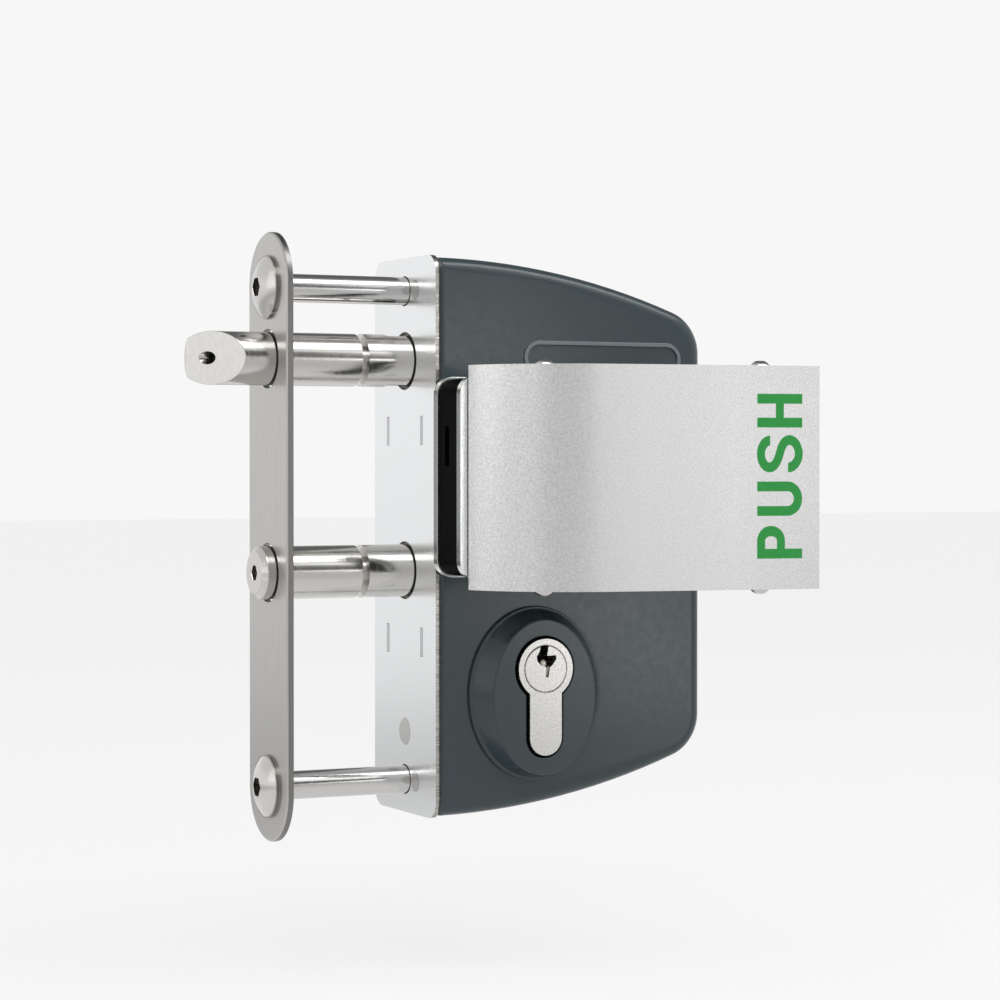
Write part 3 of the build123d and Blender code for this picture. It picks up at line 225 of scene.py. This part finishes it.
# Mounting plate: 1.5 mm zinc-plated steel that closes the open side of the housing. Its faces are pale
# and matt, and its sheared edge is bare, darker and scored across.
class Finish:
    """A material for this lock, built up from a plain one by layers of grain and tint."""

    grain_low = 0.3
    grain_high = 0.7

    def __init__(self, name, colour, metallic, roughness):
        self.material = bpy.data.materials.new(name)
        self.material.use_nodes = True
        self.tree = self.material.node_tree
        self.shader = self.tree.nodes["Principled BSDF"]
        self.shader.inputs["Base Color"].default_value = (*colour, 1)
        self.shader.inputs["Metallic"].default_value = metallic
        self.shader.inputs["Roughness"].default_value = roughness
        self.place = self.tree.nodes.new("ShaderNodeTexCoord")
        self.colour = (*colour, 1)
        self.bumped = None

    def grain(self, size, stretch=(1, 1, 1), detail=2.0):
        """Noise whose marks are size metres wide, drawn out where stretch is above 1."""
        mapping = self.tree.nodes.new("ShaderNodeMapping")
        mapping.inputs["Scale"].default_value = tuple(1 / (size * share) for share in stretch)
        noise = self.tree.nodes.new("ShaderNodeTexNoise")
        noise.inputs["Scale"].default_value = 1.0
        noise.inputs["Detail"].default_value = detail
        self.tree.links.new(self.place.outputs["Object"], mapping.inputs["Vector"])
        self.tree.links.new(mapping.outputs["Vector"], noise.inputs["Vector"])
        return noise.outputs["Fac"]

    def between(self, value, low, high):
        """A grain, which is mostly 0.3 to 0.7, spread from low to high."""
        return spread(self.tree, value, self.grain_low, self.grain_high, low, high)

    def roughen(self, value, low, high):
        self.tree.links.new(self.between(value, low, high), self.shader.inputs["Roughness"])

    def tint(self, value, colour):
        """Mixes a second colour in by the value, over what is there."""
        self.colour = mixed_colour(self.tree, value, self.colour, (*colour, 1))
        self.tree.links.new(self.colour, self.shader.inputs["Base Color"])

    def raise_by(self, value, height):
        """Bump from the value, height metres high, over what is there."""
        bump = self.tree.nodes.new("ShaderNodeBump")
        bump.inputs["Distance"].default_value = height
        self.tree.links.new(value, bump.inputs["Height"])
        if self.bumped is not None:
            self.tree.links.new(self.bumped, bump.inputs["Normal"])
        self.bumped = bump.outputs["Normal"]
        self.tree.links.new(self.bumped, self.shader.inputs["Normal"])

    def facing(self, way, least):
        """1 where the surface faces that way by at least the given share, else 0."""
        squarely = reach_along(self.tree, self.place.outputs["Normal"], way)
        return calculate(self.tree, "GREATER_THAN", squarely, least)

    def beyond(self, way, distance):
        """1 for points that lie at least that many metres out along the direction, else 0."""
        reach = reach_along(self.tree, self.place.outputs["Object"], way)
        return calculate(self.tree, "GREATER_THAN", reach, distance)

    def fade(self, way, start, end):
        """Runs from 1 to 0 between two distances in metres out along the direction."""
        reach = reach_along(self.tree, self.place.outputs["Object"], way)
        return spread(self.tree, reach, start, end, low=1.0, high=0.0)

    def times(self, first, second):
        return calculate(self.tree, "MULTIPLY", first, second)

    def other_than(self, value):
        return calculate(self.tree, "SUBTRACT", 1.0, value)

    def sheet_edge(self, least):
        """1 on the narrow sides of a plate whose two faces look along x, else 0."""
        face = self.facing((1, 0, 0), least)
        back = self.facing((-1, 0, 0), least)
        return self.times(self.other_than(face), self.other_than(back))


def dress(finish, *names):
    for name in names:
        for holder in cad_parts[name].material_slots:
            holder.link = "OBJECT"
            holder.material = finish.material


same_point = 1e-6


def soften_edges(*names, width):
    """Rounds the sharp edges of CAD nodes by modifiers, so that they catch the light."""
    flat_angle = math.radians(0.6)
    sharp_angle = math.radians(40)
    for name in names:
        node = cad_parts[name]
        weld = node.modifiers.new("weld", "WELD")
        weld.merge_threshold = same_point
        flat = node.modifiers.new("flat", "DECIMATE")
        flat.decimate_type = "DISSOLVE"
        flat.angle_limit = flat_angle
        edge = node.modifiers.new("edge", "BEVEL")
        edge.width = width
        edge.segments = 2
        edge.limit_method = "ANGLE"
        edge.angle_limit = sharp_angle
        normals = node.modifiers.new("normals", "WEIGHTED_NORMAL")
        normals.keep_sharp = True


bare_steel = (0.60, 0.58, 0.55)
score_shade = (0.16, 0.15, 0.14)
sheared_zinc = Finish("sheared_zinc", colour=(0.88, 0.89, 0.90), metallic=1.0, roughness=0.22)
sheared_zinc.roughen(sheared_zinc.grain(size=0.0012), low=0.18, high=0.26)
cut_edge = sheared_zinc.sheet_edge(least=0.7)
scores = sheared_zinc.grain(size=0.00035, stretch=(8, 8, 1), detail=3.0)
scored_edge = sheared_zinc.times(cut_edge, sheared_zinc.between(scores, low=0.0, high=0.75))
sheared_zinc.tint(cut_edge, bare_steel)
sheared_zinc.tint(scored_edge, score_shade)
sheared_zinc.raise_by(sheared_zinc.grain(size=0.0004), height=0.000006)
dress(sheared_zinc, "mounting_plate")
soften_edges("mounting_plate", width=0.00012)

# Blocks, case plates, spacers, bracket, follower, spindle, crank, hinge knuckle, arm and cam:
# zinc-plated steel, punched or machined, with the cloudy look of plating over a drawn surface.
cloud_shade = (0.50, 0.52, 0.56)
zinc_steel = Finish("zinc_steel", colour=(0.60, 0.61, 0.62), metallic=1.0, roughness=0.34)
zinc_steel.roughen(zinc_steel.grain(size=0.004, detail=4.0), low=0.26, high=0.44)
zinc_steel.tint(zinc_steel.between(zinc_steel.grain(size=0.007), low=0.0, high=0.35), cloud_shade)
zinc_steel.raise_by(zinc_steel.grain(size=0.0003), height=0.000005)
zinc_pieces = ("anchor_blocks", "case_plate_front", "case_plate_rear", "case_spacers", "spring_bracket",
               "follower", "spindle", "spindle_crank", "hinge_knuckle", "drive_arm", "cylinder_cam")
dress(zinc_steel, *zinc_pieces)
soften_edges("spindle_crank", "hinge_knuckle", "drive_arm", width=0.00015)

# Coil springs: drawn spring steel wire, dark and smooth with faint draw marks. The latch spring is
# copied as its own piece on the lock case, and sits between the latch carrier and its bracket.
spring_steel = Finish("spring_steel", colour=(0.45, 0.45, 0.46), metallic=1.0, roughness=0.26)
spring_steel.roughen(spring_steel.grain(size=0.0008, detail=3.0), low=0.20, high=0.34)
spring_steel.raise_by(spring_steel.grain(size=0.0002), height=0.000002)
dress(spring_steel, "return_spring")
coil = bmesh.new()
coil.from_mesh(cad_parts["latch_spring"].data)
bmesh.ops.remove_doubles(coil, verts=coil.verts, dist=same_point)
for face in coil.faces:
    face.smooth = True
coil_data = bpy.data.meshes.new("pressed_spring")
coil.to_mesh(coil_data)
coil.free()
coil_data.materials.clear()
coil_data.materials.append(spring_steel.material)
pressed_spring = bpy.data.objects.new("pressed_spring", coil_data)
bpy.context.collection.objects.link(pressed_spring)
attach(pressed_spring, "lock_case")
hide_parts("latch_spring")
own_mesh(pressed_spring)

# Bushes: pale moulded plastic rings that the latch, the deadbolt and the follower run in, with the
# faint pebble that the mould leaves on them.
guide_plastic = Finish("guide_plastic", colour=(0.80, 0.80, 0.76), metallic=0.0, roughness=0.45)
guide_plastic.roughen(guide_plastic.grain(size=0.001), low=0.40, high=0.52)
guide_plastic.raise_by(guide_plastic.grain(size=0.0004), height=0.000008)
dress(guide_plastic, "latch_bush", "deadbolt_bush", "follower_bushes")

# Latch bolt and deadbolt: turned stainless rod, with faint rings round the body from the lathe and a
# nose ground flat, where two fine grinding grains cross. Their carriers in the case have the same
# finish.
nose_way = (-0.7071, -0.7071, 0)
nose_colour = (0.86, 0.845, 0.82)
level_grind = ((6, 6, 1), (0.60, 0.59, 0.57))
upright_grind = ((1, 1, 6), (0.62, 0.61, 0.59))
turned_steel = Finish("turned_steel", colour=(0.66, 0.645, 0.62), metallic=1.0, roughness=0.16)
lathe_rings = turned_steel.grain(size=0.00012, stretch=(1, 40, 40), detail=3.0)
turned_steel.raise_by(lathe_rings, height=0.0000035)
turned_steel.roughen(turned_steel.grain(size=0.0005, stretch=(1, 8, 8)), low=0.13, high=0.20)
ground_nose = turned_steel.facing(nose_way, least=0.98)
turned_steel.tint(ground_nose, nose_colour)
for stretch, shade in (level_grind, upright_grind):
    scratches = turned_steel.between(turned_steel.grain(size=0.00025, stretch=stretch), low=0, high=0.30)
    turned_steel.tint(turned_steel.times(ground_nose, scratches), shade)
dress(turned_steel, "latch_bolt", "latch_carrier", "deadbolt", "deadbolt_carrier")
soften_edges("latch_bolt", "deadbolt", width=0.00015)

# Key cylinder: a nickel-plated brass body and two plugs with satin faces, brushed level, and dark
# inside the keyway. The pins that show there are bare brass.
brushed_shade = (0.50, 0.49, 0.47)
satin_nickel = Finish("satin_nickel", colour=(0.60, 0.59, 0.57), metallic=1.0, roughness=0.24)
satin_nickel.roughen(satin_nickel.grain(size=0.0006, detail=3.0), low=0.20, high=0.30)
brushing = satin_nickel.grain(size=0.0005, stretch=(8, 1, 1))
satin_nickel.tint(satin_nickel.between(brushing, low=0.0, high=0.12), brushed_shade)
dress(satin_nickel, "cylinder_body", "front_plug", "rear_plug")
pin_brass = Finish("pin_brass", colour=(0.78, 0.74, 0.64), metallic=1.0, roughness=0.2)
pin_brass.roughen(pin_brass.grain(size=0.0004), low=0.15, high=0.28)
dress(pin_brass, "front_key_pins", "rear_key_pins", "driver_pins")

# Housing halves and roses: die-cast aluminium under a dark grey powder coat, half gloss, with the
# slow waves of the baked powder and a finer skin over them. The badge's rim is painted paler, a painted
# highlight.
badge_foot = 0.045
housing_front = 0.023
rim_margin = 0.00015
powder_shade = (0.037, 0.054, 0.060)
# Painted highlight colour for the badge's raised rim.
painted_rim_highlight = (0.145, 0.175, 0.19)
powder_coat = Finish("powder_coat", colour=(0.032, 0.049, 0.055), metallic=0.0, roughness=0.20)
powder_coat.tint(powder_coat.between(powder_coat.grain(size=0.009), low=0.0, high=0.3), powder_shade)
as_high_as_badge = powder_coat.beyond((0, 0, 1), badge_foot)
proud_of_front = powder_coat.beyond((0, -1, 0), housing_front + rim_margin)
# Painted highlight: the badge's raised rim is tinted paler to stand in for the light its edge catches.
powder_coat.tint(powder_coat.times(as_high_as_badge, proud_of_front), painted_rim_highlight)
powder_coat.roughen(powder_coat.grain(size=0.0016, detail=3.0), low=0.17, high=0.22)
powder_coat.raise_by(powder_coat.grain(size=0.0026, detail=1.0), height=0.00001)
powder_coat.raise_by(powder_coat.grain(size=0.00032, detail=2.0), height=0.000001)
dress(powder_coat, "front_shell", "rear_shell", "front_cylinder_rose", "rear_cylinder_rose", "handle_rose")
soften_edges("front_shell", width=0.00045)
soften_edges("front_cylinder_rose", "rear_cylinder_rose", "handle_rose", width=0.0005)

# Small screws and pins: stainless steel, cold-headed and tumbled bright. The four round-headed ones
# at the top and bottom of the push pad hold its end caps.
screw_steel = Finish("screw_steel", colour=(0.64, 0.63, 0.62), metallic=1.0, roughness=0.15)
screw_steel.roughen(screw_steel.grain(size=0.0005, detail=3.0), low=0.12, high=0.20)
screw_steel.raise_by(screw_steel.grain(size=0.0006), height=0.000006)
screw_pieces = ("plate_screws", "case_screws", "latch_adjuster", "grub_screws", "stack_screws",
                "knuckle_screws", "hinge_pin", "cap_screws", "arm_screws", "cylinder_screw")
dress(screw_steel, *screw_pieces)
soften_edges("cap_screws", "case_screws", width=0.00012)

# Fixing screws: two large stainless button-head screws that stand on the face plate, with bright
# tumbled domes. The steep rims of the heads and the floors of their sockets are darkened by painted shade.
head_foot = 0.0421
above_socket = 0.04295
painted_rim_shade = (0.30, 0.28, 0.26)
painted_socket_shade = (0.38, 0.35, 0.32)
domed_steel = Finish("domed_steel", colour=(0.66, 0.65, 0.64), metallic=1.0, roughness=0.15)
domed_steel.roughen(domed_steel.grain(size=0.0005, detail=3.0), low=0.12, high=0.20)
domed_steel.raise_by(domed_steel.grain(size=0.0006), height=0.000004)
head = domed_steel.beyond((-1, 0, 0), head_foot)
steep = domed_steel.other_than(domed_steel.facing((-1, 0, 0), least=0.3))
flat = domed_steel.facing((-1, 0, 0), least=0.999)
sunk = domed_steel.other_than(domed_steel.beyond((-1, 0, 0), above_socket))
# Painted shade: the steep sides of the heads and the floors of the sockets are darkened where shade falls.
domed_steel.tint(domed_steel.times(head, steep), painted_rim_shade)
domed_steel.tint(domed_steel.times(head, domed_steel.times(flat, sunk)), painted_socket_shade)
dress(domed_steel, "fixing_screws")
soften_edges("fixing_screws", width=0.00012)

# Face plate: 2 mm stainless sheet with round ends, ground with a fine upright grain, and darker on its
# cut edges, partly bare sheared steel and partly painted shade. The two fixing screws hold it.
ground_shade = (0.42, 0.415, 0.405)
cut_edge_and_painted_shade = (0.24, 0.235, 0.23)
plate_steel = Finish("plate_steel", colour=(0.545, 0.535, 0.52), metallic=1.0, roughness=0.30)
upright_grain = plate_steel.grain(size=0.00016, stretch=(1, 1, 60), detail=3.0)
plate_steel.roughen(upright_grain, low=0.25, high=0.36)
plate_steel.tint(plate_steel.between(upright_grain, low=0.0, high=0.22), ground_shade)
plate_steel.raise_by(upright_grain, height=0.0000022)
# Cut edges darkened: partly bare sheared steel, partly painted shade that dims the light they catch.
plate_steel.tint(plate_steel.sheet_edge(least=0.6), cut_edge_and_painted_shade)
dress(plate_steel, "face_plate")
soften_edges("face_plate", width=0.00012)

# Lever handle on the back: cast stainless steel, ground with a fine level grain along the lever, and
# held on the square spindle by a grub screw.
lever_steel = Finish("lever_steel", colour=(0.55, 0.54, 0.53), metallic=1.0, roughness=0.28)
level_grain = lever_steel.grain(size=0.00018, stretch=(60, 1, 1), detail=3.0)
lever_steel.roughen(level_grain, low=0.23, high=0.34)
lever_steel.raise_by(level_grain, height=0.000002)
dress(lever_steel, "lever_handle")

# Push pad box: a black moulded body between two pale satin steel plates, held on the housing by four
# screws that lie flush in the cover plate. The plates' left end faces are darkened by painted shade.
painted_end_shade = (0.25, 0.26, 0.255)
box_steel = Finish("box_steel", colour=(0.90, 0.92, 0.91), metallic=1.0, roughness=0.26)
box_steel.roughen(box_steel.grain(size=0.0004, stretch=(1, 1, 12)), low=0.22, high=0.30)
# Painted shade: the plates' faces that look to the left are darkened.
box_steel.tint(box_steel.facing((-1, 0, 0), least=0.97), painted_end_shade)
box_steel.raise_by(box_steel.grain(size=0.0003), height=0.000004)
dress(box_steel, "pad_base_plate", "pad_cover_plate")
soften_edges("pad_base_plate", "pad_cover_plate", width=0.0007)
black_plastic = Finish("black_plastic", colour=(0.0022, 0.0022, 0.0022), metallic=0.0, roughness=0.42)
black_plastic.shader.inputs["Specular IOR Level"].default_value = 0.01
black_plastic.roughen(black_plastic.grain(size=0.0008), low=0.36, high=0.50)
black_plastic.raise_by(black_plastic.grain(size=0.0005), height=0.00001)
dress(black_plastic, "pad_body")
soften_edges("pad_body", width=0.0003)

# Push pad: an extruded aluminium section, bead-blasted and clear anodised, with end caps that are
# held by small round-headed screws. The blasted grain shows most on the bend, where its dark specks are
# blast grain made stronger as painted shade, and the end that is pushed is darkened by painted shade.
blast_shade = (0.66, 0.66, 0.66)
painted_far_end_shade = (0.60, 0.60, 0.595)
bend_grain_and_painted_shade = (0.50, 0.50, 0.50)
blasted_aluminium = Finish("blasted_aluminium", colour=(0.90, 0.90, 0.895), metallic=1.0, roughness=0.28)
blast = blasted_aluminium.grain(size=0.0004)
coarse_blast = blasted_aluminium.grain(size=0.0006)
on_bend = blasted_aluminium.fade((1, 0, 0), start=0.018, end=0.040)
clear_of_end_shade = blasted_aluminium.fade((1, 0, 0), start=0.066, end=0.112)
bend_specks = blasted_aluminium.between(coarse_blast, low=0.0, high=0.5)
blasted_aluminium.roughen(blasted_aluminium.grain(size=0.0007), low=0.25, high=0.31)
blasted_aluminium.tint(blasted_aluminium.between(blast, low=0.0, high=0.10), blast_shade)
# Painted shade: the far end of the pad is darkened, not worn.
blasted_aluminium.tint(blasted_aluminium.other_than(clear_of_end_shade), painted_far_end_shade)
# Dark specks on the bend: blast grain, made stronger there as painted shade for the light the marks catch.
blasted_aluminium.tint(blasted_aluminium.times(on_bend, bend_specks), bend_grain_and_painted_shade)
blasted_aluminium.raise_by(blast, height=0.000012)
blasted_aluminium.raise_by(blasted_aluminium.times(on_bend, coarse_blast), height=0.00002)
dress(blasted_aluminium, "push_pad", "pad_cap_top", "pad_cap_bottom")
soften_edges("push_pad", width=0.00015)

# The word on the pad's flat end: green screen print a few hundredths of a millimetre thick, in plain
# bold capitals that read upwards. It is drawn flat in millimetres, u to the right and v up, and then
# laid on the flat, which starts where the pad's bend ends and leans by its tilt.
pad_left = 0.6
pad_edge_y = -41.2
bend_radius = 37.0
bend_start = math.radians(74.0)
pad_tilt = math.radians(9.0)
bend_centre = (pad_left + bend_radius * math.sin(bend_start), pad_edge_y + bend_radius * math.cos(bend_start))
flat_start = (bend_centre[0] - bend_radius * math.sin(pad_tilt),
              bend_centre[1] - bend_radius * math.cos(pad_tilt))
word_base = 86.0
cap_height = 13.3
stem = 2.7
bar = 2.35
print_low = -0.05
print_high = 0.03
same_place = 0.001
join_distance = 0.01
millimetre = 0.001
print_green = Finish("print_green", colour=(0.010, 0.27, 0.038), metallic=0.0, roughness=0.34)
print_green.roughen(print_green.grain(size=0.0006), low=0.30, high=0.42)
print_green.raise_by(print_green.grain(size=0.00034), height=0.00001)


def first_stroke(mesh, left, right, height):
    """A level edge that a stroke is drawn from."""
    ends = [mesh.verts.new((left, height, 0)), mesh.verts.new((right, height, 0))]
    return mesh.edges.new(ends)


def move_along(mesh, edge, step):
    """Draws a stroke out of an edge, and returns the edge at its far end."""
    grown = bmesh.ops.extrude_edge_only(mesh, edges=[edge])["geom"]
    ends = [item for item in grown if isinstance(item, bmesh.types.BMVert)]
    edges = [item for item in grown if isinstance(item, bmesh.types.BMEdge)]
    bmesh.ops.translate(mesh, verts=ends, vec=(*step, 0))
    return next(side for side in edges if all(end in ends for end in side.verts))


def side_edge(mesh, u, low, high):
    """The upright edge at u between two heights."""
    middle = Vector((u, (low + high) / 2, 0))
    upright = [edge for edge in mesh.edges
               if abs(edge.verts[0].co.x - edge.verts[1].co.x) < same_place]
    return min(upright, key=lambda edge: ((edge.verts[0].co + edge.verts[1].co) / 2 - middle).length)


def level_edge(mesh, height, right_of):
    """The level edge at a height whose two ends lie right of a given u."""
    return next(edge for edge in mesh.edges
                if all(abs(end.co.y - height) < same_place and end.co.x > right_of for end in edge.verts))


def round_stroke(mesh, edge, centre, degrees):
    bmesh.ops.spin(mesh, geom=[edge, *edge.verts], cent=centre, axis=(0, 0, 1),
                   angle=math.radians(degrees), steps=24, use_merge=False)


def letter_p():
    width = 9.0
    bowl_low = 5.1
    bowl_radius = 4.1
    inner_squeeze = 0.72
    top = bowl_low + 2 * bowl_radius
    middle = Vector((width - bowl_radius, bowl_low + bowl_radius, 0))
    mesh = bmesh.new()
    edge = first_stroke(mesh, 0, stem, 0)
    for step in (bowl_low, bar, 2 * bowl_radius - 2 * bar, bar):
        edge = move_along(mesh, edge, (0, step))
    lower = move_along(mesh, side_edge(mesh, stem, bowl_low, bowl_low + bar), (middle.x - stem, 0))
    move_along(mesh, side_edge(mesh, stem, top - bar, top), (middle.x - stem, 0))
    round_stroke(mesh, lower, middle, 180)
    inner = [vert for vert in mesh.verts
             if vert.co.x > middle.x and (vert.co - middle).length < bowl_radius - bar / 2]
    bmesh.ops.scale(mesh, verts=inner, vec=(inner_squeeze, 1, 1), space=Matrix.Translation(-middle))
    return mesh


def letter_u():
    width = 9.45
    bowl = 4.3
    mesh = bmesh.new()
    edge = move_along(mesh, first_stroke(mesh, 0, stem, cap_height), (0, bowl - cap_height))
    round_stroke(mesh, edge, (width / 2, bowl, 0), 180)
    below = [vert for vert in mesh.verts if vert.co.y < bowl - same_place]
    flatten = bowl / (width / 2)
    bmesh.ops.scale(mesh, verts=below, vec=(1, flatten, 1), space=Matrix.Translation((0, -bowl, 0)))
    move_along(mesh, level_edge(mesh, bowl, width / 2), (0, cap_height - bowl))
    return mesh


def letter_h():
    width = 9.25
    low = (cap_height - bar) / 2
    mesh = bmesh.new()
    edge = first_stroke(mesh, 0, stem, 0)
    for step in (low, bar, low):
        edge = move_along(mesh, edge, (0, step))
    cross = move_along(mesh, side_edge(mesh, stem, low, low + bar), (width - 2 * stem, 0))
    move_along(mesh, cross, (stem, 0))
    for height, step in ((low, -low), (low + bar, low)):
        foot = level_edge(mesh, height, width - stem - same_place)
        move_along(mesh, foot, (0, step))
    return mesh


def letter_s():
    """A ribbon along a drawn spine, each knot given with its two handles, and thinner across the bars."""
    squeeze = bar / stem
    drawn = (((8.75, 9.5), (8.75, 8.0), (8.75, 11.0)), ((5.1, 12.22), (7.1, 12.22), (3.05, 12.22)),
             ((1.37, 9.75), (1.37, 11.1), (1.37, 8.0)), ((5.1, 6.7), (3.5, 7.15), (6.7, 6.25)),
             ((8.93, 3.85), (8.93, 5.5), (8.93, 2.35)), ((5.1, 1.0), (7.2, 1.0), (3.0, 1.0)),
             ((1.35, 4.2), (1.35, 2.6), (1.35, 5.6)))
    spine = bpy.data.curves.new("s_spine", "CURVE")
    spine.dimensions = "3D"
    spine.twist_mode = "Z_UP"
    spine.extrude = stem / 2
    spine.resolution_u = 12
    line = spine.splines.new("BEZIER")
    line.bezier_points.add(len(drawn) - 1)
    for knot, places in zip(line.bezier_points, drawn):
        knot.co, knot.handle_left, knot.handle_right = ((u, v / squeeze, 0) for u, v in places)
        knot.tilt = math.radians(90)
    holder = bpy.data.objects.new("s_spine", spine)
    bpy.context.collection.objects.link(holder)
    flat = bpy.data.meshes.new_from_object(holder.evaluated_get(bpy.context.evaluated_depsgraph_get()))
    bpy.data.objects.remove(holder)
    mesh = bmesh.new()
    mesh.from_mesh(flat)
    bmesh.ops.scale(mesh, verts=mesh.verts, vec=(1, squeeze, 1))
    return mesh


word = bmesh.new()
for letter, start in ((letter_p, -5.5), (letter_u, 6.25), (letter_s, 18.2), (letter_h, 30.55)):
    mesh = letter()
    for face in mesh.faces:
        face.smooth = False
    bmesh.ops.remove_doubles(mesh, verts=mesh.verts, dist=join_distance)
    bmesh.ops.recalc_face_normals(mesh, faces=mesh.faces)
    grown = bmesh.ops.extrude_face_region(mesh, geom=list(mesh.faces))["geom"]
    tops = [item for item in grown if isinstance(item, bmesh.types.BMVert)]
    bmesh.ops.translate(mesh, verts=mesh.verts, vec=(start, 0, print_low))
    bmesh.ops.translate(mesh, verts=tops, vec=(0, 0, print_high - print_low))
    letter_data = bpy.data.meshes.new("letter")
    mesh.to_mesh(letter_data)
    mesh.free()
    word.from_mesh(letter_data)
bmesh.ops.recalc_face_normals(word, faces=word.faces)
along_flat = Vector((math.cos(pad_tilt), -math.sin(pad_tilt), 0))
out_of_flat = Vector((-math.sin(pad_tilt), -math.cos(pad_tilt), 0))
base_step = (word_base - flat_start[0]) / math.cos(pad_tilt)
corner = Vector((*flat_start, 0)) + along_flat * base_step
onto_pad = Matrix(((0, -along_flat.x, out_of_flat.x, corner.x),
                   (0, -along_flat.y, out_of_flat.y, corner.y),
                   (1, 0, 0, 0),
                   (0, 0, 0, 1)))
bmesh.ops.transform(word, matrix=Matrix.Scale(millimetre, 4) @ onto_pad, verts=word.verts)
word_data = bpy.data.meshes.new("push_lettering")
word.to_mesh(word_data)
word.free()
word_data.materials.append(print_green.material)
push_lettering = bpy.data.objects.new("push_lettering", word_data)
bpy.context.collection.objects.link(push_lettering)
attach(push_lettering, "push_pad")

bpy.context.scene.view_settings.view_transform = "Standard"
